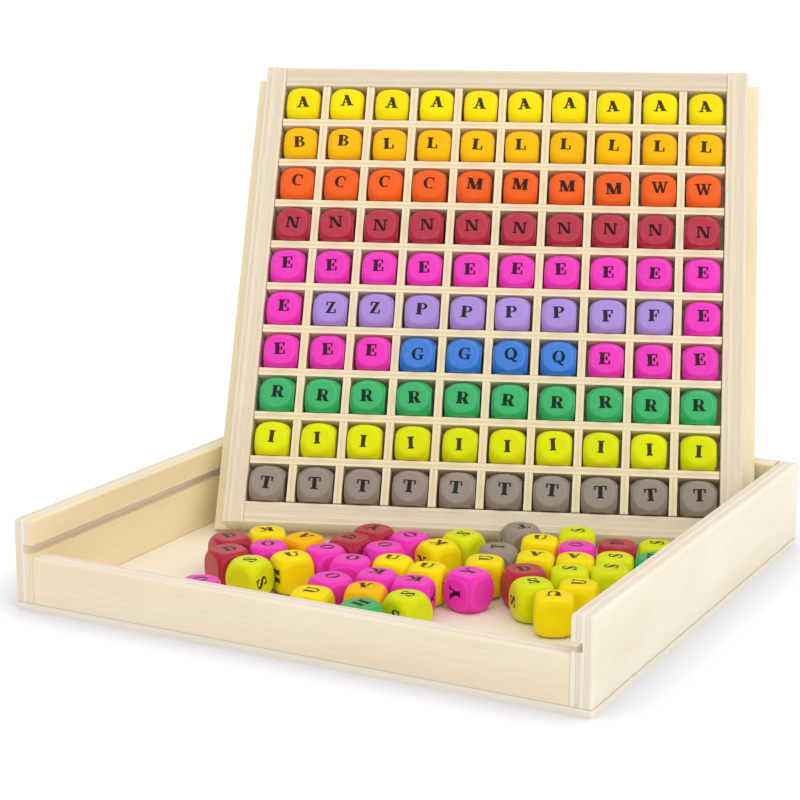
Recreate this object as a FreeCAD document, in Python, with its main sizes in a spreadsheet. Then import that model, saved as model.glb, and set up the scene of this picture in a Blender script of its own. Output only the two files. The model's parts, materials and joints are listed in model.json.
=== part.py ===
import FreeCAD, Part
import math
import os
import Sketcher

# Letter cube word game: a plywood tray, a board of compartments that leans in it, and painted cubes.
# Millimetres. The origin is the centre of the tray's underside, X runs right, Y to the back, Z up.

# Driving dimensions: lengths in millimetres, angles in degrees.
SIZES = {
    # wooden cubes
    "cube_side": 15.0,  # face to face
    "soft_edge_share": 0.133,  # of the side, lost at each edge of a well tumbled cube
    "crisp_edge_share": 0.053,  # the same on the crimson and grey cubes, whose faces stay larger
    "cube_tilt": 1.5,  # most that a cube turns in its compartment
    "loose_gap": 0.5,  # least room between neighbours on the tray's floor
    # egg-crate of slats
    "slat_thickness": 3.3,
    "slot_play": 0.2,  # where two slats are halved together
    "slat_end_gap": 0.3,  # from a slat's end to its rail
    "cell_play": 1.7,  # a compartment's width beyond its cube's
    "side_play": 0.8,  # added to the first and last column
    "end_play": 0.2,  # added to the first and last row
    # board: frame of rails on a panel
    "rail_width": 9.2,
    "rail_height": 12.6,
    "rail_round": 0.6,
    "panel_thickness": 3.0,
    "tongue_width": 5.5,  # by which the panel stands out beyond the frame, left and right
    # tray
    "wall_thickness": 8.4,
    "floor_thickness": 3.0,
    "edge_round": 1.2,
    "frame_clearance": 2.55,  # from the board's frame to a side wall, with the board slid in
    "depth_clearance": 1.0,  # from the board's end to the back wall, with the board slid in
    "store_headroom": 4.6,  # over the cubes on the floor, up to the groove
    "groove_depth": 4.2,
    "groove_play": 0.6,  # the groove's height beyond the panel's thickness
    "lip_height": 9.8,  # wall above the groove
    "front_drop": 1.1,  # from the groove down to the front wall's top
    # how the board stands in the tray
    "board_lean": 32.6,
    "board_side_gap": 0.3,  # from the tongues to the side walls
    "board_rest_gap": 0.3,  # from the panel to the back wall's upper edge
    "seat_gap": 0.1,  # under a piece that stands on another
    "cell_seat_gap": 0.3,  # under a cube in its compartment
    "cut_overrun": 1.0,  # by which a cut runs past the face that it opens
}
CELLS = 10  # compartments along each side of the board

doc = FreeCAD.newDocument("letter_cube_game")
sheet = doc.addObject("Spreadsheet::Sheet", "Sizes")
for line, (name, size) in enumerate(SIZES.items(), start=1):
    sheet.set(f"A{line}", name)
    sheet.set(f"B{line}", str(size))
    sheet.setAlias(f"B{line}", name)
doc.recompute()

# Sizes that follow from the driving ones.
PITCH = "(Sizes.cube_side + Sizes.cell_play + Sizes.slat_thickness)"
OPENING_WIDTH = f"({CELLS} * {PITCH} - Sizes.slat_thickness + 2 * Sizes.side_play)"
OPENING_HEIGHT = f"({CELLS} * {PITCH} - Sizes.slat_thickness + 2 * Sizes.end_play)"
FRAME_WIDTH = f"({OPENING_WIDTH} + 2 * Sizes.rail_width)"
BOARD_HEIGHT = f"({OPENING_HEIGHT} + 2 * Sizes.rail_width)"
PANEL_WIDTH = f"({FRAME_WIDTH} + 2 * Sizes.tongue_width)"
INNER_WIDTH = f"({FRAME_WIDTH} + 2 * Sizes.frame_clearance)"
TRAY_WIDTH = f"({INNER_WIDTH} + 2 * Sizes.wall_thickness)"
TRAY_DEPTH = f"({BOARD_HEIGHT} + Sizes.depth_clearance + Sizes.wall_thickness)"
INNER_END = f"({TRAY_DEPTH} / 2 - Sizes.wall_thickness)"
GROOVE_LEVEL = "(Sizes.cube_side + Sizes.store_headroom)"
GROOVE_TOP = f"({GROOVE_LEVEL} + Sizes.panel_thickness + Sizes.groove_play)"
WALL_HEIGHT = f"({GROOVE_TOP} + Sizes.lip_height)"
FRONT_HEIGHT = f"({GROOVE_LEVEL} - Sizes.front_drop)"


def value(expression):
    """The number that an expression on the sheet gives now."""
    return float(sheet.evalExpression(expression))


def place(across, back, up, turn="0", roll="0"):
    """The expression of a placement: a point, a turn about Z and a roll about the turned X."""
    return f"placement(vector({across}; {back}; {up}); rotation({turn}; 0; {roll}))"


def new_body(label, placement):
    body = doc.addObject("PartDesign::Body", label)
    body.Label = label
    body.setExpression("Placement", placement)
    return body


def datum(body, role):
    """One of the body's own axes or planes."""
    return next(feature for feature in body.Origin.OriginFeatures if feature.Role == role)


def outline(body, plane, corners):
    """A closed sketch of straight lines, each corner tied to the plane's origin."""
    sketch = body.newObject("Sketcher::SketchObject", f"{body.Name}_outline")
    sketch.AttachmentSupport = [(datum(body, plane), "")]
    sketch.MapMode = "FlatFace"
    points = [FreeCAD.Vector(value(across), value(up), 0) for across, up in corners]
    for start, end in zip(points, points[1:] + points[:1]):
        sketch.addGeometry(Part.LineSegment(start, end))
    for side in range(len(corners)):
        following = (side + 1) % len(corners)
        sketch.addConstraint(Sketcher.Constraint("Coincident", side, 2, following, 1))
    for side, corner in enumerate(corners):
        for direction, size in zip(("DistanceX", "DistanceY"), corner):
            tie = Sketcher.Constraint(direction, -1, 1, side, 1, value(size))
            number = sketch.addConstraint(tie)
            sketch.setExpression(f"Constraints[{number}]", size)
    return sketch


def box_corners(left, right, low, high):
    return ((left, low), (right, low), (right, high), (left, high))


def centred(width, depth):
    return box_corners(f"-{width} / 2", f"{width} / 2", f"-{depth} / 2", f"{depth} / 2")


def pad(body, sketch, length, side_type="One side"):
    feature = body.newObject("PartDesign::Pad", f"{body.Name}_pad")
    feature.Profile = sketch
    feature.SideType = side_type
    feature.setExpression("Length", length)
    doc.recompute()
    return feature


def edge_names(feature, chosen):
    edges = enumerate(feature.Shape.Edges, start=1)
    return [f"Edge{number}" for number, edge in edges if chosen(*edge.Vertexes)]


def round_edges(body, feature, radius, chosen):
    """Eases the edges that the test on an edge's two ends picks, as sanding does."""
    fillet = body.newObject("PartDesign::Fillet", f"{body.Name}_eased")
    fillet.Base = (feature, edge_names(feature, chosen))
    fillet.setExpression("Radius", radius)
    return fillet


# Tray: the floor panel lies under the walls, and the short walls stand between the side walls.
def upright(one, other):
    return not math.isclose(one.Z, other.Z)


def tray_floor():
    body = new_body("tray_floor", place("0", "0", "0"))
    slab = pad(body, outline(body, "XY_Plane", centred(TRAY_WIDTH, TRAY_DEPTH)), "Sizes.floor_thickness")
    round_edges(body, slab, "Sizes.edge_round", upright)
    return body


def side_wall(label, side):
    """A wall with the lid's groove in its inner face, drawn as its section and run the tray's depth."""
    body = new_body(label, place(f"{side} * {INNER_WIDTH} / 2", "0", "Sizes.floor_thickness"))
    outer = f"{side} * Sizes.wall_thickness"
    groove = f"{side} * Sizes.groove_depth"
    section = (
        ("0", "0"),
        (outer, "0"),
        (outer, WALL_HEIGHT),
        ("0", WALL_HEIGHT),
        ("0", GROOVE_TOP),
        (groove, GROOVE_TOP),
        (groove, GROOVE_LEVEL),
        ("0", GROOVE_LEVEL),
    )
    wall = pad(body, outline(body, "XZ_Plane", section), TRAY_DEPTH, "Symmetric")
    top = value(WALL_HEIGHT)
    outside = value(outer)

    def eased(one, other):
        on_top = math.isclose(one.Z, top) and math.isclose(other.Z, top)
        on_outside = math.isclose(one.X, outside) and math.isclose(other.X, outside)
        return on_top or (on_outside and upright(one, other))

    round_edges(body, wall, "Sizes.edge_round", eased)
    return body


def short_wall(label, centre, height):
    body = new_body(label, place("0", centre, "Sizes.floor_thickness"))
    wall = pad(body, outline(body, "XY_Plane", centred(INNER_WIDTH, "Sizes.wall_thickness")), height)
    top = value(height)

    def along_top(one, other):
        level = math.isclose(one.Z, top) and math.isclose(other.Z, top)
        return level and math.isclose(one.Y, other.Y)

    round_edges(body, wall, "Sizes.edge_round", along_top)
    return body


SHORT_WALL_PLACE = f"({INNER_END} + Sizes.wall_thickness / 2)"
nodes = [
    tray_floor(),
    side_wall("tray_wall_left", "-1"),
    side_wall("tray_wall_right", "1"),
    short_wall("tray_wall_back", SHORT_WALL_PLACE, WALL_HEIGHT),
    short_wall("tray_wall_front", f"-{SHORT_WALL_PLACE}", FRONT_HEIGHT),
]

# Board: its own X runs along its foot, Y up its face and Z out of its front. It stands on the panel's
# lower back edge and leans on the back wall's upper edge at its right end. It is wider than the tray
# inside, so it is turned until it fits: its lower right corner comes to the right wall, and its left
# edge to the left wall's upper edge.
FOOT_LEVEL = "(Sizes.floor_thickness + Sizes.seat_gap)"
LEANING_BACK = f"((Sizes.floor_thickness + {WALL_HEIGHT} - {FOOT_LEVEL}) * tan(Sizes.board_lean))"
CORNER_REACH = "(Sizes.panel_thickness * cos(Sizes.board_lean))"
TURNED_REACH = f"({LEANING_BACK} + {CORNER_REACH})"
ROOM_ACROSS = f"({INNER_WIDTH} - 2 * Sizes.board_side_gap)"
FULL_REACH = f"sqrt({PANEL_WIDTH} ^ 2 + {TURNED_REACH} ^ 2)"
BOARD_TURN = f"(atan({TURNED_REACH} / {PANEL_WIDTH}) + acos({ROOM_ACROSS} / {FULL_REACH}))"
FOOT_TO_CORNER = f"({PANEL_WIDTH} / 2 * cos({BOARD_TURN}) + {CORNER_REACH} * sin({BOARD_TURN}))"
FOOT_TO_REST = f"({PANEL_WIDTH} / 2 * sin({BOARD_TURN}) + {LEANING_BACK} * cos({BOARD_TURN}))"
BOARD_PLACE = place(
    f"{ROOM_ACROSS} / 2 - {FOOT_TO_CORNER}",
    f"{INNER_END} - Sizes.board_rest_gap - {FOOT_TO_REST}",
    FOOT_LEVEL,
    BOARD_TURN,
    "90 - Sizes.board_lean",
)


def on_board(across, up, out, turn="0"):
    """A placement counted from the board's own axes, which the panel carries."""
    return f"board_panel.Placement * {place(across, up, out, turn)}"


def board_panel():
    body = new_body("board_panel", BOARD_PLACE)
    corners = box_corners(f"-{PANEL_WIDTH} / 2", f"{PANEL_WIDTH} / 2", "0", BOARD_HEIGHT)
    pad(body, outline(body, "XY_Plane", corners), "Sizes.panel_thickness")
    return body


def rail(label, length, placement):
    """A strip of plywood on edge, drawn as its section, with its two front edges eased."""
    body = new_body(label, placement)
    section = box_corners("-Sizes.rail_width / 2", "Sizes.rail_width / 2", "0", "Sizes.rail_height")
    strip = pad(body, outline(body, "XZ_Plane", section), length, "Symmetric")
    top = value("Sizes.rail_height")

    def along_front(one, other):
        level = math.isclose(one.Z, top) and math.isclose(other.Z, top)
        return level and math.isclose(one.X, other.X)

    round_edges(body, strip, "Sizes.rail_round", along_front)
    return body


def slat(label, length, placement, slot_low, slot_high):
    """A thin slat with a row of slots, one for each slat that crosses it."""
    body = new_body(label, placement)
    pad(body, outline(body, "XY_Plane", centred(length, "Sizes.slat_thickness")), "Sizes.rail_height")
    first = f"({1 - CELLS / 2} * {PITCH})"
    half_slot = "(Sizes.slat_thickness + Sizes.slot_play) / 2"
    corners = box_corners(f"{first} - {half_slot}", f"{first} + {half_slot}", slot_low, slot_high)
    slot = body.newObject("PartDesign::Pocket", f"{label}_slot")
    slot.Profile = outline(body, "XZ_Plane", corners)
    slot.Type = "ThroughAll"
    slot.SideType = "Symmetric"
    slots = body.newObject("PartDesign::LinearPattern", f"{label}_slots")
    slots.Originals = [slot]
    slots.Direction = (datum(body, "X_Axis"), [""])
    slots.setExpression("Length", f"{CELLS - 2} * {PITCH}")
    slots.Occurrences = CELLS - 1
    body.Tip = slots
    return body


RAIL_ACROSS = f"({FRAME_WIDTH} - Sizes.rail_width) / 2"
HALF_UP = f"{BOARD_HEIGHT} / 2"
FRONT_OF_PANEL = "Sizes.panel_thickness"
nodes += [
    board_panel(),
    rail("board_rail_left", BOARD_HEIGHT, on_board(f"-{RAIL_ACROSS}", HALF_UP, FRONT_OF_PANEL)),
    rail("board_rail_right", BOARD_HEIGHT, on_board(RAIL_ACROSS, HALF_UP, FRONT_OF_PANEL)),
]
for end, centre in (("bottom", "Sizes.rail_width / 2"), ("top", f"{BOARD_HEIGHT} - Sizes.rail_width / 2")):
    nodes.append(rail(f"board_rail_{end}", OPENING_WIDTH, on_board("0", centre, FRONT_OF_PANEL, "90")))

# Slats across are slotted from the panel's side and uprights from the front, so the two sets halve
# together and the slats across run unbroken over the front.
SLOT_DEPTH = "((Sizes.rail_height + Sizes.slot_play) / 2)"
for number in range(1, CELLS):
    steps = CELLS / 2 - number
    across_slat = slat(
        f"slat_across_{number}",
        f"({OPENING_WIDTH} - 2 * Sizes.slat_end_gap)",
        on_board("0", f"{HALF_UP} + {steps} * {PITCH}", FRONT_OF_PANEL),
        "-Sizes.cut_overrun",
        SLOT_DEPTH,
    )
    upright_slat = slat(
        f"slat_upright_{number}",
        f"({OPENING_HEIGHT} - 2 * Sizes.slat_end_gap)",
        on_board(f"{-steps} * {PITCH}", HALF_UP, FRONT_OF_PANEL, "90"),
        f"Sizes.rail_height - {SLOT_DEPTH}",
        "Sizes.rail_height + Sizes.cut_overrun",
    )
    nodes += [across_slat, upright_slat]


# Cubes: one blank for each finish, repeated by links. A node holds the cubes of one group.
def cube_blank(label, edge_share):
    body = new_body(label, place("0", "0", "0"))
    square = outline(body, "XY_Plane", centred("Sizes.cube_side", "Sizes.cube_side"))
    block = pad(body, square, "Sizes.cube_side", "Symmetric")
    chamfer = body.newObject("PartDesign::Chamfer", f"{label}_edges")
    chamfer.Base = (block, edge_names(block, lambda one, other: True))
    chamfer.setExpression("Size", f"{edge_share} * Sizes.cube_side")
    return body


soft_cube = cube_blank("soft_cube", "Sizes.soft_edge_share")
crisp_cube = cube_blank("crisp_cube", "Sizes.crisp_edge_share")
CRISP_COLOURS = ("crimson", "grey")


def cube_group(label, colour, placement, cubes):
    """Cubes of one colour at the given places, which are counted from the group's own placement."""
    blank = crisp_cube if colour in CRISP_COLOURS else soft_cube
    links = []
    for number, cube in enumerate(cubes, start=1):
        link = doc.addObject("App::Link", f"{label}_cube_{number}")
        link.LinkedObject = blank
        link.setExpression("Placement", cube)
        links.append(link)
    group = doc.addObject("Part::Compound", label)
    group.Label = label
    group.Links = links
    group.setExpression("Placement", placement)
    return group


# Cubes in the compartments: each lies on the panel and on the slat below, a little aside and turned.
ASIDE_SHARES = (0.3, -0.5, 0.1, 0.55, -0.2, -0.45, 0.4, 0.0, -0.6, 0.2, 0.5, -0.35, 0.15)
TURN_SHARES = (0.6, -0.2, -0.9, 0.3, 0.0, 0.8, -0.5, 0.1, -0.7, 0.45, -0.1)
COLOUR_LETTERS = {
    "y": "yellow",
    "a": "amber",
    "o": "orange",
    "c": "crimson",
    "m": "magenta",
    "l": "lilac",
    "b": "blue",
    "g": "green",
    "e": "lemon",
    "r": "grey",
}
# The board as it is seen from the front, a letter for the colour in each compartment.
BOARD_ROWS = (
    "yyyyyyyyyy",
    "aaaaaaaaaa",
    "oooooooooo",
    "cccccccccc",
    "mmmmmmmmmm",
    "mllllllllm",
    "mmmbbbbmmm",
    "gggggggggg",
    "eeeeeeeeee",
    "rrrrrrrrrr",
)


def in_compartment(row, column):
    aside_share = ASIDE_SHARES[(7 * column + 4 * row) % len(ASIDE_SHARES)]
    turn_share = TURN_SHARES[(5 * column + 3 * row) % len(TURN_SHARES)]
    steps_right = column - (CELLS + 1) / 2
    steps_up = CELLS / 2 - row
    seat = f"{HALF_UP} + {steps_up} * {PITCH} + Sizes.slat_thickness / 2 + Sizes.cell_seat_gap"
    return place(
        f"{steps_right} * {PITCH} + {aside_share} * Sizes.cell_play / 2",
        f"{seat} + Sizes.cube_side / 2",
        "Sizes.panel_thickness + Sizes.seat_gap + Sizes.cube_side / 2",
        f"{turn_share} * Sizes.cube_tilt",
    )


for row, letters in enumerate(BOARD_ROWS, start=1):
    for letter in sorted(set(letters)):
        colour = COLOUR_LETTERS[letter]
        columns = [column for column, other in enumerate(letters, start=1) if other == letter]
        cubes = [in_compartment(row, column) for column in columns]
        nodes.append(cube_group(f"row_{row:02}_{colour}", colour, "board_panel.Placement", cubes))

# Loose cubes on the tray's floor. A place is counted in steps of a cube and its gap, left from the
# right wall and back from the front wall, with the cube's turn in degrees.
LOOSE_PLACE_SHARES = (
    ("loose_yellow_left", (10.92, 4.95, 36), (9.27, 3.4, 52), (7.41, 1.19, 10)),
    ("loose_yellow_middle", (6.88, 4.34, 10), (5.85, 4.2, 9), (6.47, 6.03, 62)),
    ("loose_yellow_right", (4.36, 7.68, 20), (3.89, 6.34, 18), (2.94, 6.66, 20), (4.86, 5.41, 20)),
    ("loose_yellow_front", (2.04, 4.74, 15), (2.19, 3.62, 25)),
    ("loose_magenta_left", (10.24, 3.89, 38), (10.16, 0.61, 30), (8.8, 4.3, 54)),
    ("loose_magenta_back", (7.44, 6.32, 60), (7.59, 5.2, 48), (7.79, 3.81, 13)),
    ("loose_magenta_middle", (7.52, 2.33, 60), (6.68, 3.13, 8), (5.65, 3.05, 12)),
    ("loose_magenta_single", (4.75, 4.27, 74)),
    ("loose_magenta_right", (3.28, 7.58, 20)),
    ("loose_lime_left", (9.95, 2.53, 83)),
    ("loose_lime_front", (5.27, 2, 72)),
    ("loose_lime_back", (6.28, 7.08, 80), (3.78, 8.76, 22)),
    ("loose_lime_right", (1.52, 8.65, 20), (2.08, 7.17, 20), (0.69, 6.32, 20)),
    ("loose_lime_near", (2.68, 5.67, 25), (1.81, 6.22, 20), (3.06, 4.31, 43)),
    ("loose_crimson_left", (11.47, 4.02, 54), (10.92, 3.04, 58)),
    ("loose_crimson_back", (8.68, 5.39, 82), (8.53, 6.38, 80)),
    ("loose_crimson_right", (2.43, 8.19, 18), (3.64, 5.13, 44)),
    ("loose_amber", (9.79, 4.91, 75), (6.41, 2.06, 15)),
    ("loose_green", (5.92, 0.9, 72), (1.17, 7.57, 20)),
    ("loose_grey", (5.21, 8.37, 42), (4.97, 6.42, 20)),
)
LOOSE_STEP = "(Sizes.cube_side + Sizes.loose_gap)"
FLOOR_CORNER = place(f"{INNER_WIDTH} / 2", f"-{INNER_END}", FOOT_LEVEL)
for label, *places in LOOSE_PLACE_SHARES:
    cubes = [
        place(f"-{left_share} * {LOOSE_STEP}", f"{back_share} * {LOOSE_STEP}", "Sizes.cube_side / 2", turn)
        for left_share, back_share, turn in places
    ]
    nodes.append(cube_group(label, label.split("_")[1], FLOOR_CORNER, cubes))

doc.recompute()
for item in doc.Objects:
    if "Invalid" in item.State or "Error" in item.State:
        raise RuntimeError(f"{item.Label}: {item.State}")
os.makedirs("parts", exist_ok=True)
for node in nodes:
    if node.Shape.isNull() or not node.Shape.isValid() or not node.Shape.Solids:
        raise RuntimeError(f"{node.Label} has no valid solid")
    node.Shape.exportStep(f"parts/{node.Label}.step")
print(f"{len(nodes)} nodes, {sum(len(node.Shape.Solids) for node in nodes)} solids")
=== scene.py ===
import json
import math
import random

import bmesh
import bpy
from mathutils import Matrix, Vector
from mathutils.geometry import delaunay_2d_cdt


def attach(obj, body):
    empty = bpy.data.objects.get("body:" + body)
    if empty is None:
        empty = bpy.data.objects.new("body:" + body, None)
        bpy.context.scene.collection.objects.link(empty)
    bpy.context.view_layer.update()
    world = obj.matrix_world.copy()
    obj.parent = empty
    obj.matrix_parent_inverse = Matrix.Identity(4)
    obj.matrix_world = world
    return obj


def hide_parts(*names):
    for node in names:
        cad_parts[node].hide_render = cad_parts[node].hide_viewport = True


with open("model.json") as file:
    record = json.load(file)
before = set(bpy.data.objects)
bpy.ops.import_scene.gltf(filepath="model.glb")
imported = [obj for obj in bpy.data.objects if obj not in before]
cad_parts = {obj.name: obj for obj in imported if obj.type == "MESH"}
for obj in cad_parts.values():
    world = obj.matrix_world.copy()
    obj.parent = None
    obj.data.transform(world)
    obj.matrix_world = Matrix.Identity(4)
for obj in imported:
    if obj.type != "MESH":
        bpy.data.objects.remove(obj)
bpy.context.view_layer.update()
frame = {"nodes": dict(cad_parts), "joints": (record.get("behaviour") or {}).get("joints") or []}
nodes = frame["nodes"]
scene = bpy.context.scene
scene.view_settings.view_transform = "Standard"

# Camera: a long lens, above the tray's right front corner, held almost level. Its angles, its distance
# in metres and its aim are fitted to the photograph.
CAMERA_AZIMUTH = math.radians(27.72)
CAMERA_ELEVATION = math.radians(13.05)
CAMERA_ROLL = math.radians(0.24)
CAMERA_DISTANCE = 0.8143
CAMERA_AIM = Vector((-0.0110, -0.0026, 0.0720))
camera = bpy.data.objects.new("camera", bpy.data.cameras.new("camera"))
camera.data.sensor_width = 36.0
camera.data.lens = 91.92
camera_turn = (
    Matrix.Rotation(CAMERA_AZIMUTH, 4, "Z")
    @ Matrix.Rotation(math.pi / 2 - CAMERA_ELEVATION, 4, "X")
    @ Matrix.Rotation(CAMERA_ROLL, 4, "Z")
)
camera_back = camera_turn.to_3x3() @ Vector((0, 0, 1))
camera.matrix_world = Matrix.Translation(CAMERA_AIM + CAMERA_DISTANCE * camera_back) @ camera_turn
scene.collection.objects.link(camera)
scene.camera = camera


# Studio: a white table top that runs out of sight, white walls all round, and a broad soft light from
# above. The table is seen a little whiter than it is lit, and close to the tray its colour is darkened
# as painted shade, on top of the real shadow that the light casts there.
def linear(code):
    """A colour written as a web code, as the shaders take it."""
    parts = [int(code[place:place + 2], 16) / 255 for place in (1, 3, 5)]
    return [part / 12.92 if part <= 0.04045 else ((part + 0.055) / 1.055) ** 2.4 for part in parts] + [1.0]


def new_nodes(owner):
    """Empties an owner's node tree, and gives the calls that add a node and join two sockets there."""
    owner.use_nodes = True
    tree = owner.node_tree
    tree.nodes.clear()
    return tree.nodes.new, tree.links.new


TABLE_REACH = 12.0
table_top = bmesh.new()
bmesh.ops.create_grid(table_top, x_segments=1, y_segments=1, size=TABLE_REACH)
table_mesh = bpy.data.meshes.new("table_top")
table_top.to_mesh(table_mesh)
table_top.free()
table = bpy.data.objects.new("table_top", table_mesh)
scene.collection.objects.link(table)

NEAR_SHADE_REACH = 0.055
TABLE_LIFT = 0.12
white_top = bpy.data.materials.new("white table top")
add, join = new_nodes(white_top)
matt = add("ShaderNodeBsdfDiffuse")
near_things = add("ShaderNodeAmbientOcclusion")
near_things.samples = 8
near_things.inputs["Distance"].default_value = NEAR_SHADE_REACH
# Painted shade: the table's colour turns bluish grey where the tray is near, and white away from it.
near_shade = add("ShaderNodeMix")
near_shade.data_type = "RGBA"
near_shade.inputs[6].default_value = linear("#9699A6")
near_shade.inputs[7].default_value = linear("#FDFDFF")
join(near_things.outputs["AO"], near_shade.inputs[0])
join(near_shade.outputs[2], matt.inputs["Color"])
lift = add("ShaderNodeEmission")
rays = add("ShaderNodeLightPath")
lift_share = add("ShaderNodeMath")
lift_share.operation = "MULTIPLY"
lift_share.inputs[1].default_value = TABLE_LIFT
both = add("ShaderNodeAddShader")
out = add("ShaderNodeOutputMaterial")
join(rays.outputs["Is Camera Ray"], lift_share.inputs[0])
join(lift_share.outputs[0], lift.inputs["Strength"])
join(matt.outputs[0], both.inputs[0])
join(lift.outputs[0], both.inputs[1])
join(both.outputs[0], out.inputs["Surface"])
table_mesh.materials.append(white_top)

BRIGHT_SIDE = (0.4, 0.3, 0.86)
DIMMEST_WALL = 0.68
BRIGHTEST_WALL = 0.88
studio = bpy.data.worlds.new("white studio")
scene.world = studio
add, join = new_nodes(studio)
directions = add("ShaderNodeTexCoord")
toward_bright = add("ShaderNodeVectorMath")
toward_bright.operation = "DOT_PRODUCT"
toward_bright.inputs[1].default_value = BRIGHT_SIDE
room_light = add("ShaderNodeMapRange")
room_light.inputs["From Min"].default_value = -0.6
room_light.inputs["To Min"].default_value = DIMMEST_WALL
room_light.inputs["To Max"].default_value = BRIGHTEST_WALL
rays = add("ShaderNodeLightPath")
seen_or_lit = add("ShaderNodeMix")
seen_or_lit.inputs["B"].default_value = 1.0
walls = add("ShaderNodeBackground")
out = add("ShaderNodeOutputWorld")
join(directions.outputs["Generated"], toward_bright.inputs[0])
join(toward_bright.outputs["Value"], room_light.inputs["Value"])
join(rays.outputs["Is Camera Ray"], seen_or_lit.inputs["Factor"])
join(room_light.outputs[0], seen_or_lit.inputs["A"])
join(seen_or_lit.outputs[0], walls.inputs["Strength"])
join(walls.outputs[0], out.inputs["Surface"])

LIGHT_FROM = Vector((0.45, -0.3, 0.84))
LIGHT_STRENGTH = 1.4
LIGHT_SPREAD = math.radians(110)
daylight = bpy.data.objects.new("soft light", bpy.data.lights.new("soft light", "SUN"))
daylight.data.energy = LIGHT_STRENGTH
daylight.data.angle = LIGHT_SPREAD
daylight.rotation_euler = (-LIGHT_FROM).to_track_quat("-Z", "Y").to_euler()
scene.collection.objects.link(daylight)


# Tray floor: one sheet of thin birch plywood under the whole tray, glued to the walls' lower edges.
# Its face grain runs from side to side, and its sawn edge shows the plies.
PLY_WAVER = 0.0005
JOINT_WIDTH = 0.0005
JOINT_SHADE = "#8E6C3C"


def new_group(name, inputs, outputs):
    """An empty node group, with its sockets given as names and kinds."""
    group = bpy.data.node_groups.new(name, "ShaderNodeTree")
    for in_out, sockets in (("INPUT", inputs), ("OUTPUT", outputs)):
        for socket, kind in sockets.items():
            group.interface.new_socket(socket, in_out=in_out, socket_type=f"NodeSocket{kind}")
    return group


def group_calls(group):
    """The calls that do a sum, blend two colours and map a range in a group. Each gives its output."""
    add, join = group.nodes.new, group.links.new

    def feed(sockets, values):
        for socket, value in zip(sockets, values):
            if isinstance(value, bpy.types.NodeSocket):
                join(value, socket)
            else:
                socket.default_value = value

    def math_node(operation, *values):
        node = add("ShaderNodeMath")
        node.operation = operation
        feed(node.inputs, values)
        return node.outputs[0]

    def blend(mode, factor, first, second):
        node = add("ShaderNodeMix")
        node.data_type = "RGBA"
        node.blend_type = mode
        feed((node.inputs[0], node.inputs[6], node.inputs[7]), (factor, first, second))
        return node.outputs[2]

    def ramp(value, low, high, start, end):
        node = add("ShaderNodeMapRange")
        names = ("Value", "From Min", "From Max", "To Min", "To Max")
        feed([node.inputs[name] for name in names], (value, low, high, start, end))
        return node.outputs[0]

    return math_node, blend, ramp


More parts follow.
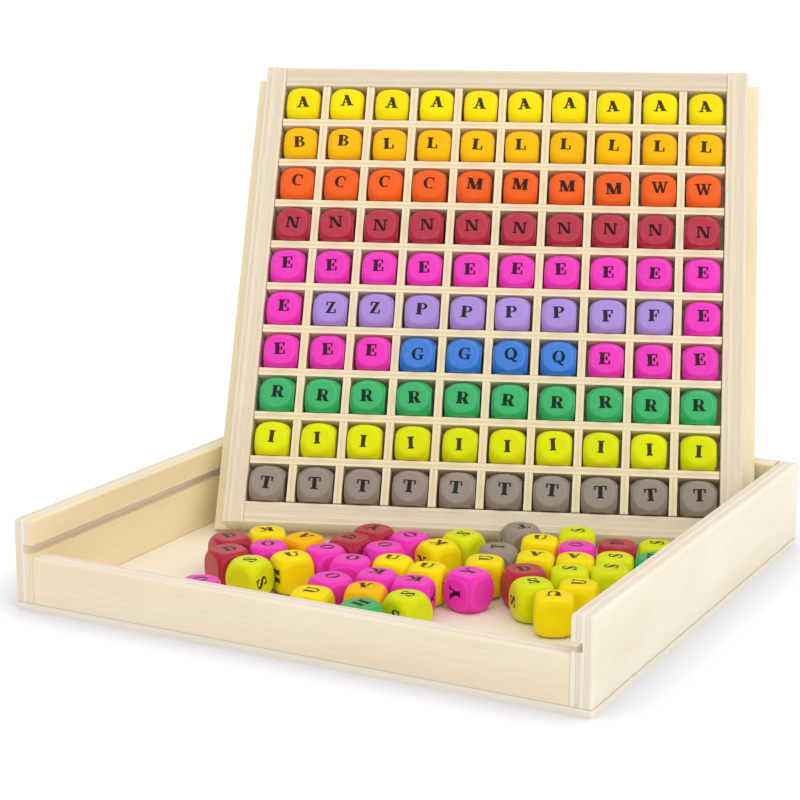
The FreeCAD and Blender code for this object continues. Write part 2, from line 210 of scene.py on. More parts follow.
def ply_layers():
    """Birch plywood through its thickness, with the glue between the plies and dark lines at its joints."""
    group = new_group(
        "ply layers",
        {
            "Place": "Vector",
            "Length": "Float",
            "Thickness": "Float",
            "Plies": "Float",
            "Face Ply": "Color",
            "Core Ply": "Color",
            "Glue": "Color",
            "End Joints": "Float",
            "Foot Joint": "Float",
        },
        {"Color": "Color", "Height": "Float"},
    )
    add, join = group.nodes.new, group.links.new
    math_node, blend, ramp = group_calls(group)
    given = add("NodeGroupInput").outputs
    result = add("NodeGroupOutput").inputs

    def fibres(detail, *waves):
        """Noise from 0 to 1, with so many waves to the metre along, across and through the sheet."""
        stretch = add("ShaderNodeVectorMath")
        stretch.operation = "MULTIPLY"
        stretch.inputs[1].default_value = waves
        join(given["Place"], stretch.inputs[0])
        noise = add("ShaderNodeTexNoise")
        noise.inputs["Scale"].default_value = 1.0
        noise.inputs["Detail"].default_value = detail
        join(stretch.outputs[0], noise.inputs["Vector"])
        return noise.outputs["Fac"]

    split = add("ShaderNodeSeparateXYZ")
    join(given["Place"], split.inputs[0])
    waver = math_node("MULTIPLY", math_node("SUBTRACT", fibres(2, 16, 40, 40), 0.5), PLY_WAVER)
    depth = math_node("DIVIDE", math_node("ADD", split.outputs["Z"], waver), given["Thickness"])
    layer = math_node("MULTIPLY", depth, given["Plies"])
    last = math_node("SUBTRACT", given["Plies"], 0.5)
    inner = math_node("MINIMUM", math_node("MAXIMUM", layer, 0.5), last)
    number = math_node("FLOOR", inner)
    crossing = math_node("MODULO", number, 2.0)
    from_back = math_node("SUBTRACT", math_node("FLOOR", last), number)
    in_core = math_node("MINIMUM", math_node("MINIMUM", number, from_back), 1.0)
    from_glue = math_node("PINGPONG", math_node("FRACT", inner), 0.5)
    glue_line = ramp(from_glue, 0.0, 0.16, 0.3, 0.0)
    streaks = fibres(3, 30, 700, 700)
    figure = fibres(2, 12, 60, 60)
    flecks = fibres(3, 160, 900, 900)
    streak_tone = ramp(streaks, 0.3, 0.7, 0.982, 1.012)
    pores = ramp(fibres(1, 110, 2400, 2400), 0.64, 0.74, 1.0, 0.9)
    chance_tone = add("ShaderNodeTexWhiteNoise")
    chance_tone.noise_dimensions = "1D"
    join(number, chance_tone.inputs["W"])
    ply_tone = ramp(chance_tone.outputs["Value"], 0.0, 1.0, 0.95, 1.03)
    lines = fibres(3, 22, 22, 1300)
    line_tone = ramp(lines, 0.3, 0.7, 0.94, 1.04)
    figured = blend("MIX", ramp(figure, 0.32, 0.72, 0.0, 0.2), given["Face Ply"], given["Glue"])
    face = blend("MULTIPLY", 1.0, figured, math_node("MULTIPLY", streak_tone, pores))
    end_grain = blend("MIX", ramp(flecks, 0.3, 0.7, 0.34, 0.06), given["Core Ply"], given["Glue"])
    core = blend("MIX", crossing, given["Core Ply"], end_grain)
    toned_core = blend("MULTIPLY", 1.0, core, math_node("MULTIPLY", ply_tone, line_tone))
    plies = blend("MIX", in_core, face, toned_core)
    sheet = blend("MIX", glue_line, plies, given["Glue"])
    to_far_end = math_node("SUBTRACT", given["Length"], split.outputs["X"])
    from_end = math_node("MINIMUM", split.outputs["X"], to_far_end)
    at_end = math_node("MULTIPLY", ramp(from_end, 0.0, JOINT_WIDTH, 1.0, 0.0), given["End Joints"])
    near_foot = ramp(split.outputs["Y"], 0.0, JOINT_WIDTH, 1.0, 0.0)
    at_foot = math_node("MULTIPLY", near_foot, given["Foot Joint"])
    joint_line = blend("MIX", math_node("MAXIMUM", at_end, at_foot), sheet, linear(JOINT_SHADE))
    join(joint_line, result["Color"])
    join(math_node("ADD", streaks, math_node("MULTIPLY", flecks, crossing)), result["Height"])
    return group


PLY_LAYERS = ply_layers()
FACE_BIRCH = "#F8EAD0"
CORE_BIRCH = "#F4EBDC"
GLUE_LINE = "#D2B98A"


def span(node, axis):
    """How far a node reaches along an axis, from and to."""
    places = [vertex.co.dot(axis) for vertex in nodes[node].data.vertices]
    return min(places), max(places)


def plywood(
    node,
    grain,
    through,
    plies,
    face=FACE_BIRCH,
    core=CORE_BIRCH,
    glue=GLUE_LINE,
    end_joints=0.0,
    foot_joint=0.0,
):
    """Gives a node the look of plywood, with its grain along one axis and its plies stacked on another.

    The joints' values say how dark the lines are at its two ends and along its foot.
    """
    low, high = span(node, through)
    start, end = span(node, grain)
    across = through.cross(grain)
    side = span(node, across)[0]
    axes = Matrix((grain, across, through)).transposed()
    wood = bpy.data.materials.new(f"{node} plywood")
    add, join = new_nodes(wood)
    coordinates = add("ShaderNodeTexCoord")
    to_piece = add("ShaderNodeMapping")
    to_piece.vector_type = "TEXTURE"
    to_piece.inputs["Location"].default_value = through * low + grain * start + across * side
    to_piece.inputs["Rotation"].default_value = axes.to_euler()
    layers = add("ShaderNodeGroup")
    layers.node_tree = PLY_LAYERS
    layers.inputs["Length"].default_value = end - start
    layers.inputs["Thickness"].default_value = high - low
    layers.inputs["Plies"].default_value = plies
    layers.inputs["Face Ply"].default_value = linear(face)
    layers.inputs["Core Ply"].default_value = linear(core)
    layers.inputs["Glue"].default_value = linear(glue)
    layers.inputs["End Joints"].default_value = end_joints
    layers.inputs["Foot Joint"].default_value = foot_joint
    bump = add("ShaderNodeBump")
    bump.inputs["Strength"].default_value = 0.12
    bump.inputs["Distance"].default_value = 0.0004
    sheen = add("ShaderNodeMapRange")
    sheen.inputs["From Min"].default_value = 0.2
    sheen.inputs["From Max"].default_value = 1.4
    sheen.inputs["To Min"].default_value = 0.52
    sheen.inputs["To Max"].default_value = 0.68
    shader = add("ShaderNodeBsdfPrincipled")
    shader.inputs["Specular IOR Level"].default_value = 0.35
    out = add("ShaderNodeOutputMaterial")
    join(coordinates.outputs["Object"], to_piece.inputs["Vector"])
    join(to_piece.outputs[0], layers.inputs["Place"])
    join(layers.outputs["Color"], shader.inputs["Base Color"])
    join(layers.outputs["Height"], bump.inputs["Height"])
    join(layers.outputs["Height"], sheen.inputs["Value"])
    join(sheen.outputs[0], shader.inputs["Roughness"])
    join(bump.outputs[0], shader.inputs["Normal"])
    join(shader.outputs[0], out.inputs["Surface"])
    nodes[node].material_slots[0].material = wood


RIGHT = Vector((1, 0, 0))
BACK = Vector((0, 1, 0))
UP = Vector((0, 0, 1))
# Painted light: the floor's core and glue plies are lighter than the other birch, for the light that the
# white table throws on its sawn edge.
plywood("tray_floor", RIGHT, UP, 3, face="#F8F0DE", core="#FFFAEE", glue="#EBDDBC")

# Tray walls: four strips of thicker birch plywood glued on the floor, the short ones between the long
# ones. A groove for the board's tongues is cut along the long ones and runs out at the low front.
# Painted shade: the left wall's birch is a warmer yellow than the other walls', for the shade and warm
# bounce that the board gives its inner face. Its orange glue also makes its figure stains stronger.
plywood("tray_wall_left", BACK, RIGHT, 5, face="#F6E8BE", glue="#DDB878", foot_joint=0.5)
# Painted light: the right wall's birch is a lighter copy of the others, for the light falling on its side.
plywood("tray_wall_right", BACK, RIGHT, 5, face="#FAF1DE", foot_joint=0.5)
# Painted shade: the back wall's birch is a warmer copy of the others, for the warm shade on its inner face.
plywood("tray_wall_back", RIGHT, -BACK, 5, face="#F6E6C2", end_joints=0.4, foot_joint=0.5)
plywood("tray_wall_front", RIGHT, -BACK, 5, end_joints=0.4, foot_joint=0.5)

# Board: a plywood sheet that carries a frame of four strips set on edge, so that their plies face the
# front. All is glued. Its axes are read from the way in which its cubes come out.
row_joint = next(joint for joint in frame["joints"] if joint["name"].startswith("row_"))
BOARD_OUT = Vector(row_joint["axis"]).normalized()
BOARD_ACROSS = Vector((-BOARD_OUT.y, BOARD_OUT.x, 0)).normalized()
BOARD_UP = BOARD_OUT.cross(BOARD_ACROSS)
RAIL_WOOD = {"plies": 7, "face": "#EDE2CB", "core": "#EADDC6"}
plywood("board_panel", BOARD_UP, BOARD_OUT, 3, face="#F5E8C6")
plywood("board_rail_left", BOARD_UP, BOARD_ACROSS, **RAIL_WOOD)
plywood("board_rail_right", BOARD_UP, BOARD_ACROSS, **RAIL_WOOD)
# Painted shade: the top rail is a darker copy of the other rails' birch, to hold back the light it gets
# from above.
plywood("board_rail_top", BOARD_ACROSS, BOARD_UP, 7, "#E6DAC2", "#E2D4BC", end_joints=0.3)
plywood("board_rail_bottom", BOARD_ACROSS, BOARD_UP, **RAIL_WOOD, end_joints=0.3)

# Slats: thin plywood strips, slotted half through and pushed together into an egg-crate that lies on
# the panel between the rails.
SLATS_EACH_WAY = 9
SLAT_WOOD = {"plies": 3, "face": "#F7E9C8", "core": "#F1E1BA", "glue": "#DCC48C", "end_joints": 0.3}
for number in range(1, SLATS_EACH_WAY + 1):
    plywood(f"slat_across_{number}", BOARD_ACROSS, BOARD_UP, **SLAT_WOOD)
    plywood(f"slat_upright_{number}", BOARD_UP, BOARD_ACROSS, **SLAT_WOOD)


# Cubes: hardwood dice, tumbled until only a round flat is left of each face, then dipped in satin paint.
# The paint is thin and rubbed on the rims of the flats, and the flats are made a little lighter, partly as
# rubbing and partly as painted sheen. Letters are stamped on it in dark ink.
RIM_SEGMENTS = 24
RIM_WEAR = 0.85
# Painted sheen: the flats' vertices take a smaller share of the rim's mark, so each whole flat is mixed
# part way to the lighter colour, partly as rubbing and partly as painted sheen.
FLAT_WEAR_AND_SHEEN = 0.5
OUTER_RIM_WEAR = 0.4
SAME_POINT = 1e-6


def tumbled_cube(half, flat, rim, power):
    """A cube tumbled towards a ball, or at a higher power a squarer one. Its eased rims are marked for
    rubbing, and its flats less, partly for rubbing and partly as painted sheen.
    """
    ball = (flat ** power + half ** power) ** (1 / power)

    def worn_length(place):
        return sum(abs(share) ** power for share in place) ** (1 / power)

    form = bmesh.new()
    rubbed_and_sheen_mask = form.verts.layers.float.new("rubbed_and_sheen_mask")
    grain = form.verts.layers.float_vector.new("grain_place")
    round_flat = bmesh.ops.create_circle(form, cap_ends=True, segments=RIM_SEGMENTS, radius=flat)
    for vertex in round_flat["verts"]:
        vertex.co *= flat / worn_length(vertex.co)
    bmesh.ops.translate(form, vec=(0, 0, half), verts=round_flat["verts"])
    rim_edges = [edge for edge in form.edges if edge.is_boundary]
    skirt = bmesh.ops.extrude_edge_only(form, edges=rim_edges)["geom"]
    for vertex in (item for item in skirt if isinstance(item, bmesh.types.BMVert)):
        reach = half / max(abs(vertex.co.x), abs(vertex.co.y))
        vertex.co = Vector((vertex.co.x * reach, vertex.co.y * reach, half))
        vertex.co *= ball / worn_length(vertex.co)
    side = list(form.verts) + list(form.edges) + list(form.faces)
    turns = [Matrix.Rotation(math.radians(angle), 3, "X") for angle in (90, 180, 270)]
    turns += [Matrix.Rotation(math.radians(angle), 3, "Y") for angle in (90, 270)]
    for turn in turns:
        copy = bmesh.ops.duplicate(form, geom=side)["geom"]
        copied = [item for item in copy if isinstance(item, bmesh.types.BMVert)]
        bmesh.ops.rotate(form, matrix=turn, verts=copied)
    bmesh.ops.remove_doubles(form, verts=form.verts, dist=half / 1000)
    flats = [face for face in form.faces if len(face.verts) == RIM_SEGMENTS]
    rims = list({edge for face in flats for edge in face.edges})
    eased = bmesh.ops.bevel(
        form, geom=rims, offset=rim, segments=2, profile=0.5, affect="EDGES", material=-1
    )
    for vertex in eased["verts"]:
        on_rim = all(face in eased["faces"] for face in vertex.link_faces)
        on_flat = any(len(face.verts) == RIM_SEGMENTS for face in vertex.link_faces)
        vertex[rubbed_and_sheen_mask] = RIM_WEAR if on_rim else FLAT_WEAR_AND_SHEEN if on_flat else OUTER_RIM_WEAR
    for vertex in form.verts:
        vertex[grain] = vertex.co
    bmesh.ops.recalc_face_normals(form, faces=form.faces)
    for face in form.faces:
        face.smooth = True
    mesh = bpy.data.meshes.new("tumbled cube")
    form.to_mesh(mesh)
    form.free()
    return mesh


def cubes_in(node, out, across):
    """Each cube of a node as a matrix: its centre, its face along out, and the face nearest to across."""
    form = bmesh.new()
    form.from_mesh(nodes[node].data)
    bmesh.ops.remove_doubles(form, verts=form.verts, dist=SAME_POINT)
    left = set(form.verts)
    found = []
    while left:
        island = [left.pop()]
        for vertex in island:
            near = {edge.other_vert(vertex) for edge in vertex.link_edges} & left
            island += near
            left -= near
        centre = sum((vertex.co for vertex in island), Vector()) / len(island)
        faces = {face for vertex in island for face in vertex.link_faces}
        broad = max(face.calc_area() for face in faces) / 2
        sides = [face.normal for face in faces if face.calc_area() > broad]
        x_axis = max(sides, key=across.dot)
        half = max((vertex.co - centre).dot(x_axis) for vertex in island)
        y_axis = out.cross(x_axis)
        axes = Matrix((x_axis, y_axis, out)).transposed().to_4x4()
        found.append((Matrix.Translation(centre) @ axes, half))
    form.free()
    return sorted(found, key=lambda cube: cube[0].translation.dot(across))


# Stamp letters: a plain bold face with slab serifs, one unit high and centred on its width. A letter
# is a few overlapping strokes that are merged into one thin film of ink.
STEM = 0.33
HAIR = 0.13
SERIF = 0.11
BOW_STEPS = 14


def bar(left, right, low, high):
    return [(left, low), (right, low), (right, high), (left, high)]


def slant(foot, head, width, low=0.0, high=1.0):
    half = width / 2
    return [(foot - half, low), (foot + half, low), (head + half, high), (head - half, high)]


def bow(x, y, wide, tall, thick, thin, first, last):
    """A crescent between two ovals, thick at its sides and thin above and below."""
    angles = [math.radians(first + (last - first) * step / BOW_STEPS) for step in range(BOW_STEPS + 1)]
    outer = [(x + wide * math.cos(a), y + tall * math.sin(a)) for a in angles]
    inner = [(x + (wide - thick) * math.cos(a), y + (tall - thin) * math.sin(a)) for a in angles]
    return outer + inner[::-1]


def foot(x, reach=0.25):
    return bar(x - reach, x + reach, 0, SERIF)


def head(x, reach=0.25):
    return bar(x - reach, x + reach, 1 - SERIF, 1)


def stem(x, low=0.0, high=1.0, width=STEM):
    return bar(x - width / 2, x + width / 2, low, high)


ROUND = [bow(0, 0.5, 0.5, 0.52, 0.27, 0.08, -90, 90), bow(0, 0.5, 0.5, 0.52, 0.27, 0.08, 90, 270)]
OPEN_ROUND = [bow(0.05, 0.5, 0.5, 0.52, 0.27, 0.08, 52, 308), bar(0.31, 0.41, 0.64, 1.0)]
TALL_E = [stem(-0.2), head(-0.2), bar(-0.2, 0.36, 0.92, 1), stem(0.32, 0.68, 1, HAIR)]
TALL_E += [bar(-0.2, 0.16, 0.46, 0.54), stem(0.15, 0.34, 0.66, HAIR)]
TALL_P = [stem(-0.22), bar(-0.45, 0.02, 0.92, 1), bar(-0.2, 0.02, 0.44, 0.52)]
TALL_P += [bow(0.02, 0.72, 0.4, 0.28, 0.24, 0.08, -90, 90)]
LETTER_STROKES = {
    "A": [slant(0.3, -0.04, STEM), slant(-0.34, -0.02, HAIR), bar(-0.24, 0.2, 0.26, 0.35)]
    + [foot(-0.34, 0.18), foot(0.3)],
    "B": [stem(-0.22), bar(-0.45, 0.02, 0.92, 1), bar(-0.2, 0.04, 0.48, 0.56), bar(-0.45, 0.04, 0, 0.08)]
    + [bow(0, 0.76, 0.36, 0.24, 0.22, 0.08, -90, 90), bow(0.02, 0.28, 0.42, 0.28, 0.25, 0.08, -90, 90)],
    "C": OPEN_ROUND,
    "D": [stem(-0.26), bar(-0.5, -0.04, 0.92, 1), bar(-0.5, -0.04, 0, 0.08)]
    + [bow(-0.04, 0.5, 0.5, 0.5, 0.26, 0.08, -90, 90)],
    "E": TALL_E + [foot(-0.2), bar(-0.2, 0.4, 0, 0.08), stem(0.36, 0, 0.34, HAIR)],
    "F": TALL_E + [foot(-0.2)],
    "G": OPEN_ROUND + [stem(0.33, 0.02, 0.42, 0.22), bar(0.1, 0.52, 0.36, 0.44)],
    "H": [stem(-0.3), stem(0.3), bar(-0.3, 0.3, 0.46, 0.55)]
    + [foot(-0.3, 0.22), foot(0.3, 0.22), head(-0.3, 0.22), head(0.3, 0.22)],
    "I": [stem(0), foot(0), head(0)],
    "K": [stem(-0.3), slant(-0.2, 0.34, HAIR, 0.36, 1), slant(0.36, -0.06, STEM, 0, 0.6)]
    + [foot(-0.3, 0.22), head(-0.3, 0.22), foot(0.36, 0.22), head(0.34, 0.18)],
    "L": [stem(-0.18), head(-0.18), foot(-0.18), bar(-0.2, 0.4, 0, 0.08), stem(0.36, 0, 0.36, HAIR)],
    "M": [stem(-0.46, width=HAIR), stem(0.42), slant(0, -0.38, STEM), slant(0, 0.36, HAIR)]
    + [foot(-0.46, 0.16), foot(0.42, 0.22), head(-0.44, 0.18), head(0.42, 0.22)],
    "N": [stem(-0.38, width=HAIR), stem(0.38, width=HAIR), slant(0.3, -0.3, 0.28)]
    + [foot(-0.38, 0.17), head(-0.34, 0.2), head(0.38, 0.17)],
    "O": ROUND,
    "P": TALL_P + [foot(-0.22)],
    "Q": ROUND + [[(-0.1, 0.16), (0.16, -0.2), (0.4, -0.22), (0.5, -0.02), (0.3, -0.1), (0.06, 0.24)]],
    "R": TALL_P + [foot(-0.22), slant(0.34, 0.1, STEM, 0, 0.5), foot(0.38, 0.16)],
    "S": [bow(0, 0.74, 0.36, 0.28, 0.2, 0.09, 30, 215), bow(0, 0.27, 0.4, 0.29, 0.22, 0.09, -150, 35)]
    + [[(-0.34, 0.66), (-0.22, 0.5), (0.16, 0.22), (0.38, 0.36), (0.26, 0.52), (-0.12, 0.74)]]
    + [stem(0.27, 0.68, 1, HAIR), stem(-0.34, 0, 0.34, HAIR)],
    "T": [stem(0), bar(-0.46, 0.46, 0.91, 1), foot(0, 0.27)]
    + [stem(-0.42, 0.66, 1, HAIR), stem(0.42, 0.66, 1, HAIR)],
    "U": [stem(-0.28, 0.3, 1), stem(0.34, 0.3, 1, HAIR), head(-0.28), head(0.34, 0.17)]
    + [bow(-0.01, 0.32, 0.4, 0.34, 0.2, 0.1, 180, 360)],
    "V": [slant(0.02, -0.3, STEM), slant(0.06, 0.34, HAIR), head(-0.3), head(0.34, 0.18)],
    "W": [slant(-0.2, -0.5, 0.22), slant(-0.18, 0.06, HAIR), slant(0.26, 0.0, 0.22), slant(0.28, 0.5, HAIR)]
    + [head(-0.48, 0.2), head(0.02, 0.18), head(0.5, 0.15)],
    "Y": [stem(0, 0, 0.5), slant(0, -0.32, STEM, 0.42, 1), slant(0.05, 0.36, HAIR, 0.42, 1)]
    + [foot(0), head(-0.32, 0.22), head(0.36, 0.17)],
    "Z": [bar(-0.36, 0.36, 0.91, 1), bar(-0.4, 0.4, 0, 0.09), slant(-0.25, 0.22, 0.28)]
    + [stem(-0.32, 0.66, 1, HAIR), stem(0.36, 0, 0.34, HAIR)],
}
LETTER_MIDDLE = 0.5


def ink_letter(strokes):
    """The merged strokes of a letter as flat faces at z = 0, with the middle of its height at y = 0."""
    points = [Vector(point) for stroke in strokes for point in stroke]
    loops = []
    for stroke in strokes:
        start = sum(len(loop) for loop in loops)
        loops.append(list(range(start, start + len(stroke))))
    places, _, faces, _, _, kept = delaunay_2d_cdt(points, [], loops, 1, SAME_POINT)
    film = bmesh.new()
    corners = [film.verts.new((place.x, place.y - LETTER_MIDDLE, 0)) for place in places]
    for face, strokes_there in zip(faces, kept):
        if strokes_there:
            film.faces.new([corners[corner] for corner in face])
    bmesh.ops.delete(film, geom=[vertex for vertex in film.verts if not vertex.link_faces], context="VERTS")
    bmesh.ops.dissolve_limit(film, angle_limit=math.radians(1), verts=film.verts, edges=film.edges)
    bmesh.ops.recalc_face_normals(film, faces=film.faces)
    mesh = bpy.data.meshes.new("ink letter")
    film.to_mesh(mesh)
    film.free()
    return mesh


letter_meshes = {letter: ink_letter(strokes) for letter, strokes in LETTER_STROKES.items()}


def paint_mottle():
    """Thin paint on wood: uneven cover, grain felt through it, rubbing on the rims, flats lightened
    partly by rubbing and partly as painted sheen, and a few specks.
    """
    group = new_group(
        "thin paint",
        {"Paint": "Color", "Rubbed And Sheen": "Color", "Wear And Sheen": "Float"},
        {"Color": "Color", "Roughness": "Float", "Height": "Float"},
    )
    add, join = group.nodes.new, group.links.new
    math_node, blend, ramp = group_calls(group)
    given = add("NodeGroupInput").outputs
    result = add("NodeGroupOutput").inputs

    def attribute(name):
        node = add("ShaderNodeAttribute")
        node.attribute_name = name
        return node.outputs

    place = attribute("grain_place")
    rubbed_and_sheen_mask = attribute("rubbed_and_sheen_mask")
    tone = attribute("tone")

    def noise(detail, *waves):
        """Noise from 0 to 1, with so many waves to the metre along each axis, shifted from cube to cube."""
        drawn = add("ShaderNodeVectorMath")
        drawn.operation = "MULTIPLY_ADD"
        drawn.inputs[1].default_value = waves
        join(place["Vector"], drawn.inputs[0])
        join(tone["Vector"], drawn.inputs[2])
        texture = add("ShaderNodeTexNoise")
        texture.inputs["Scale"].default_value = 1.0
        texture.inputs["Detail"].default_value = detail
        join(drawn.outputs[0], texture.inputs["Vector"])
        return texture.outputs["Fac"]

    cover = noise(3, 260, 260, 260)
    fibres = noise(2, 900, 160, 900)
    rub_and_sheen_patches = noise(2, 420, 420, 420)
    specks = ramp(noise(1, 1300, 1300, 1300), 0.76, 0.8, 1.0, 0.55)
    cover_tone = ramp(cover, 0.3, 0.7, 0.98, 1.015)
    cube_tone = ramp(tone["Fac"], 0.0, 1.0, 0.95, 1.03)
    shade = math_node("MULTIPLY", math_node("MULTIPLY", cover_tone, cube_tone), specks)
    painted = blend("MULTIPLY", 1.0, given["Paint"], shade)
    # The marked rims and flats are mixed toward the lighter colour: on the rims as rubbing, on the flats
    # partly as rubbing and partly as painted sheen.
    patchy = math_node("MULTIPLY", rubbed_and_sheen_mask["Fac"], ramp(rub_and_sheen_patches, 0.3, 0.7, 0.6, 1.0))
    rubbed_and_sheen = math_node("MULTIPLY", patchy, given["Wear And Sheen"])
    join(blend("MIX", rubbed_and_sheen, painted, given["Rubbed And Sheen"]), result["Color"])
    join(ramp(cover, 0.25, 0.75, 0.4, 0.46), result["Roughness"])
    join(fibres, result["Height"])
    return group


THIN_PAINT = paint_mottle()
LEAST_COAT = 0.2
COAT_WITH_WEAR = 1.8


def paint(name, colour, rubbed_and_sheen, wear_and_sheen):
    """Satin paint of one colour, lighter on its rims as rubbing and on its flats partly as painted sheen.
    A colour with more rubbing also shines more.
    """
    material = bpy.data.materials.new(f"{name} paint")
    add, join = new_nodes(material)
    coat = add("ShaderNodeGroup")
    coat.node_tree = THIN_PAINT
    coat.inputs["Paint"].default_value = linear(colour)
    coat.inputs["Rubbed And Sheen"].default_value = linear(rubbed_and_sheen)
    coat.inputs["Wear And Sheen"].default_value = wear_and_sheen
    bump = add("ShaderNodeBump")
    bump.inputs["Strength"].default_value = 0.1
    bump.inputs["Distance"].default_value = 0.0002
    shader = add("ShaderNodeBsdfPrincipled")
    shader.inputs["Specular IOR Level"].default_value = 0.2
    shader.inputs["Specular Tint"].default_value = linear(colour)
    shader.inputs["Coat Weight"].default_value = LEAST_COAT + COAT_WITH_WEAR * wear_and_sheen
    shader.inputs["Coat IOR"].default_value = 1.3
    shader.inputs["Coat Roughness"].default_value = 0.35
    out = add("ShaderNodeOutputMaterial")
    join(coat.outputs["Color"], shader.inputs["Base Color"])
    join(coat.outputs["Roughness"], shader.inputs["Roughness"])
    join(coat.outputs["Height"], bump.inputs["Height"])
    join(bump.outputs[0], shader.inputs["Normal"])
    join(shader.outputs[0], out.inputs["Surface"])
    return material


INK_COLOUR = "#0E0B0A"


def ink(name, colour):
    """Stamped ink, satin and a little uneven, with some of the paint showing through."""
    material = bpy.data.materials.new(f"ink on {name}")
    add, join = new_nodes(material)
    coordinates = add("ShaderNodeTexCoord")
    patches = add("ShaderNodeTexNoise")
    patches.inputs["Scale"].default_value = 900
    patches.inputs["Detail"].default_value = 2
    cover = add("ShaderNodeMapRange")
    cover.inputs["To Min"].default_value = 0.99
    cover.inputs["To Max"].default_value = 0.92
    tones = add("ShaderNodeMix")
    tones.data_type = "RGBA"
    tones.inputs[6].default_value = linear(colour)
    tones.inputs[7].default_value = linear(INK_COLOUR)
    shader = add("ShaderNodeBsdfPrincipled")
    shader.inputs["Roughness"].default_value = 0.6
    shader.inputs["Specular IOR Level"].default_value = 0.05
    shader.inputs["Coat Weight"].default_value = 1.0
    shader.inputs["Coat IOR"].default_value = 1.2
    shader.inputs["Coat Roughness"].default_value = 0.25
    out = add("ShaderNodeOutputMaterial")
    join(coordinates.outputs["Object"], patches.inputs["Vector"])
    join(patches.outputs["Fac"], cover.inputs["Value"])
    join(cover.outputs[0], tones.inputs[0])
    join(tones.outputs[2], shader.inputs["Base Color"])
    join(shader.outputs[0], out.inputs["Surface"])
    return material


# Each colour's paint, the lighter colour of its rubbed rims and of the painted sheen on its flats, how much
# they are rubbed and sheened, the reach of a flat and the width of its eased rim as shares of half a cube's
# side, and how square the wear has left it.
PAINTS = {
    "yellow": ("#FAE200", "#FFF060", 0.06, 0.78, 0.16, 2.7),
    "amber": ("#FABC00", "#FFD860", 0.06, 0.78, 0.16, 2.7),
    "orange": ("#F25E18", "#FA9A68", 0.14, 0.8, 0.12, 2.6),
    "crimson": ("#B01232", "#DE8A96", 0.32, 0.84, 0.06, 2.5),
    "magenta": ("#F022BA", "#FA9AE2", 0.24, 0.81, 0.12, 2.5),
    "lilac": ("#A88AD8", "#C8B2E8", 0.3, 0.82, 0.09, 2.5),
    "blue": ("#1470D6", "#8CB6E4", 0.42, 0.83, 0.07, 2.15),
    "green": ("#1AAC5C", "#86D2A4", 0.38, 0.82, 0.08, 2.15),
    "lemon": ("#E0E600", "#F2F56A", 0.06, 0.8, 0.13, 2.2),
    "lime": ("#DEE600", "#E4EC6A", 0.08, 0.8, 0.14, 2.3),
    "grey": ("#92847A", "#BAB0A8", 0.35, 0.84, 0.05, 2.05),
}
paint_materials = {}
chance = random.Random(15)
ROUNDEST = 2.0
SQUARENESS_STRAY = (-0.2, 0.15)
LETTER_HEIGHT = 0.0054
LETTER_ASIDE_STRAY = (-0.08, 0.08)
LETTER_ABOVE_STRAY = (-0.08, 0.12)
LETTER_TURN_STRAY = (-5, 5)
INK_FILM = 0.00004
INK_SLOT = 1
FACE_TURNS = {
    "front": Matrix.Identity(4),
    "right": Matrix.Rotation(math.pi / 2, 4, "Y"),
    "left": Matrix.Rotation(-math.pi / 2, 4, "Y"),
    "near": Matrix.Rotation(math.pi / 2, 4, "X"),
}


def stamp_letter(form, letter, stamp):
    """Adds a letter to a form as a thin closed film of ink, at the place that a matrix gives."""
    first_vertex = len(form.verts)
    first_face = len(form.faces)
    form.from_mesh(letter_meshes[letter])
    form.verts.ensure_lookup_table()
    form.faces.ensure_lookup_table()
    print_faces = form.faces[first_face:]
    bmesh.ops.transform(form, matrix=stamp, verts=form.verts[first_vertex:])
    film = bmesh.ops.extrude_face_region(form, geom=print_faces, use_keep_orig=True)["geom"]
    raised = [item for item in film if isinstance(item, bmesh.types.BMVert)]
    outward = stamp.to_3x3() @ Vector((0, 0, 1))
    bmesh.ops.translate(form, vec=outward.normalized() * INK_FILM, verts=raised)
    form.faces.ensure_lookup_table()
    for face in form.faces[first_face:]:
        face.material_index = INK_SLOT


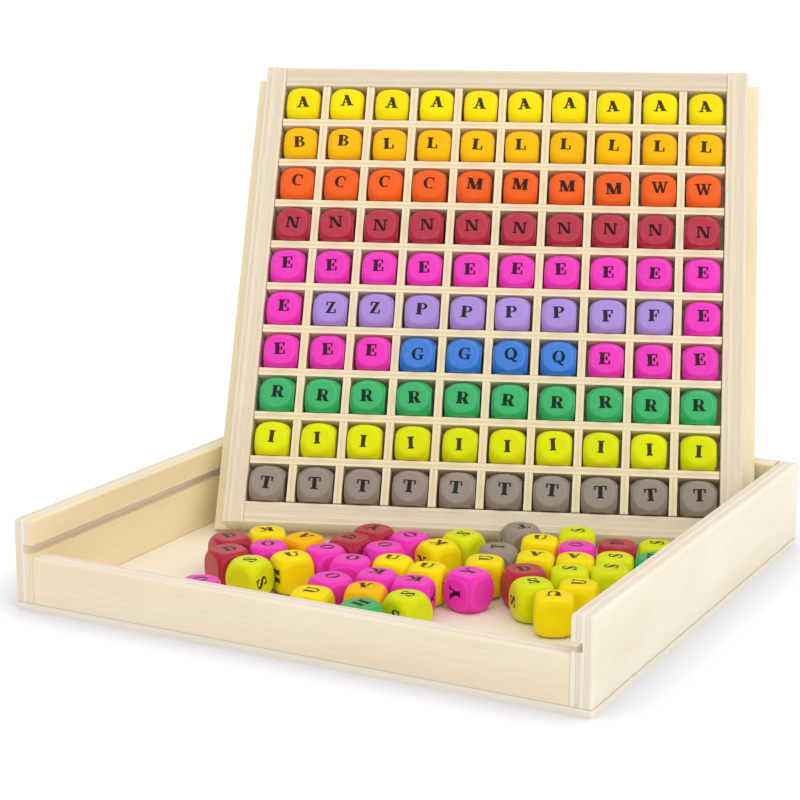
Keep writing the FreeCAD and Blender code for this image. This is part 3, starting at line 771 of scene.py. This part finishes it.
def paint_cubes(node, body, out, across, letters):
    """Stands for a node's cubes, whose letters are given cube by cube from left to right.

    Each letter has its face, its turn in degrees and, off the middle, its place in half sides.
    """
    colour = next(word for word in node.split("_") if word in PAINTS)
    code, rubbed_and_sheen, wear_and_sheen, flat_share, rim_share, power = PAINTS[colour]
    if colour not in paint_materials:
        paint_materials[colour] = (paint(colour, code, rubbed_and_sheen, wear_and_sheen), ink(colour, code))
    form = bmesh.new()
    tone = form.verts.layers.float.new("tone")
    for (place, half), stamps in zip(cubes_in(node, out, across), letters):
        cube_power = max(power + chance.uniform(*SQUARENESS_STRAY), ROUNDEST)
        blank = tumbled_cube(half, flat_share * half, rim_share * half, cube_power)
        already = len(form.verts)
        form.from_mesh(blank)
        bpy.data.meshes.remove(blank)
        form.verts.ensure_lookup_table()
        fresh = form.verts[already:]
        bmesh.ops.transform(form, matrix=place, verts=fresh)
        cube_tone = chance.random()
        for vertex in fresh:
            vertex[tone] = cube_tone
        for face_name, letter, turn, *off in stamps:
            aside, above = off or (0, 0)
            aside += chance.uniform(*LETTER_ASIDE_STRAY)
            above += chance.uniform(*LETTER_ABOVE_STRAY)
            stamp = (
                place
                @ FACE_TURNS[face_name]
                @ Matrix.Translation((aside * half, above * half, half))
                @ Matrix.Rotation(math.radians(turn + chance.uniform(*LETTER_TURN_STRAY)), 4, "Z")
                @ Matrix.Scale(LETTER_HEIGHT, 4)
            )
            stamp_letter(form, letter, stamp)
    mesh = bpy.data.meshes.new(f"{node}_cubes")
    form.to_mesh(mesh)
    form.free()
    for material in paint_materials[colour]:
        mesh.materials.append(material)
    cubes = bpy.data.objects.new(f"{node}_cubes", mesh)
    scene.collection.objects.link(cubes)
    cubes.modifiers.new("flat faces", "WEIGHTED_NORMAL").keep_sharp = True
    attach(cubes, body)
    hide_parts(node)


# Rows on the board: a painted cube in each compartment, its letter to the front. Nothing fixes it: it
# lies on the panel and on the slat below.
ROW_LETTERS = {
    "row_01_yellow": "AAAAAAAAAA",
    "row_02_amber": "BBLLLLLLLL",
    "row_03_orange": "CCCCMMMMWW",
    "row_04_crimson": "NNNNNNNNNN",
    "row_05_magenta": "EEEEEEEEEE",
    "row_06_magenta": "EE",
    "row_06_lilac": "ZZPPPPFF",
    "row_07_magenta": "EEEEEE",
    "row_07_blue": "GGQQ",
    "row_08_green": "RRRRRRRRRR",
    "row_09_lemon": "IIIIIIIIII",
    "row_10_grey": "TTTTTTTTTT",
}
for node, letters in ROW_LETTERS.items():
    stamps = [[("front", letter, 0)] for letter in letters]
    paint_cubes(node, f"{node}_cubes", BOARD_OUT, BOARD_ACROSS, stamps)

# Loose cubes: painted cubes of the same make, spilled on the tray's floor in one layer, with their
# letters lying all ways. Nothing fixes them.
LOOSE_LETTERS = {
    "loose_yellow_left": [
        [("front", "K", 180)],
        [("front", "U", 90), ("near", "H", 90, 0.4, 0)],
        [("front", "U", 90)],
    ],
    "loose_yellow_middle": [
        [("front", "U", 0)],
        [("front", "K", 180), ("near", "Y", 0)],
        [("front", "U", 0), ("right", "U", 90, 0, -0.2)],
    ],
    "loose_yellow_right": [
        [("front", "U", 90)],
        [("front", "U", 0)],
        [("front", "A", 180)],
        [("front", "A", 180)],
    ],
    "loose_yellow_front": [[("front", "U", 180)], [("front", "U", 90)]],
    "loose_magenta_left": [[("front", "O", 0)], [("front", "O", 90)], [("front", "O", 0)]],
    "loose_magenta_back": [[("front", "O", 0)], [("front", "O", 0)], [("front", "O", 90)]],
    "loose_magenta_middle": [
        [("front", "O", 0)],
        [("front", "K", 180)],
        [("front", "K", 180), ("right", "Y", 0)],
    ],
    "loose_magenta_single": [[("front", "Y", 90), ("near", "Y", 90)]],
    "loose_magenta_right": [[("front", "O", 90)]],
    "loose_lime_left": [[("front", "S", 90), ("right", "S", 15, -0.06, -0.4)]],
    "loose_lime_front": [[("front", "S", 90), ("near", "S", 0, 0.2, 0)]],
    "loose_lime_back": [[("front", "S", 90)], [("front", "S", 90)]],
    "loose_lime_right": [[("front", "S", 90)], [("front", "S", 90)], [("front", "S", 0)]],
    "loose_lime_near": [
        [("front", "S", 0), ("left", "S", 0)],
        [("front", "S", 90)],
        [("front", "S", 90)],
    ],
    "loose_crimson_left": [[("front", "D", 90)], [("front", "D", 90)]],
    "loose_crimson_back": [[("front", "D", 90)], [("front", "Y", 180)]],
    "loose_crimson_right": [[("front", "D", 0)], [("front", "D", 90)]],
    "loose_amber": [[("front", "V", 0)], [("front", "V", 0)]],
    "loose_green": [[("front", "H", 90)], [("front", "H", 90)]],
    "loose_grey": [[("front", "T", 180), ("left", "T", 0)], [("front", "T", 90)]],
}
for node, stamps in LOOSE_LETTERS.items():
    paint_cubes(node, f"{node}_cubes", UP, RIGHT, stamps)
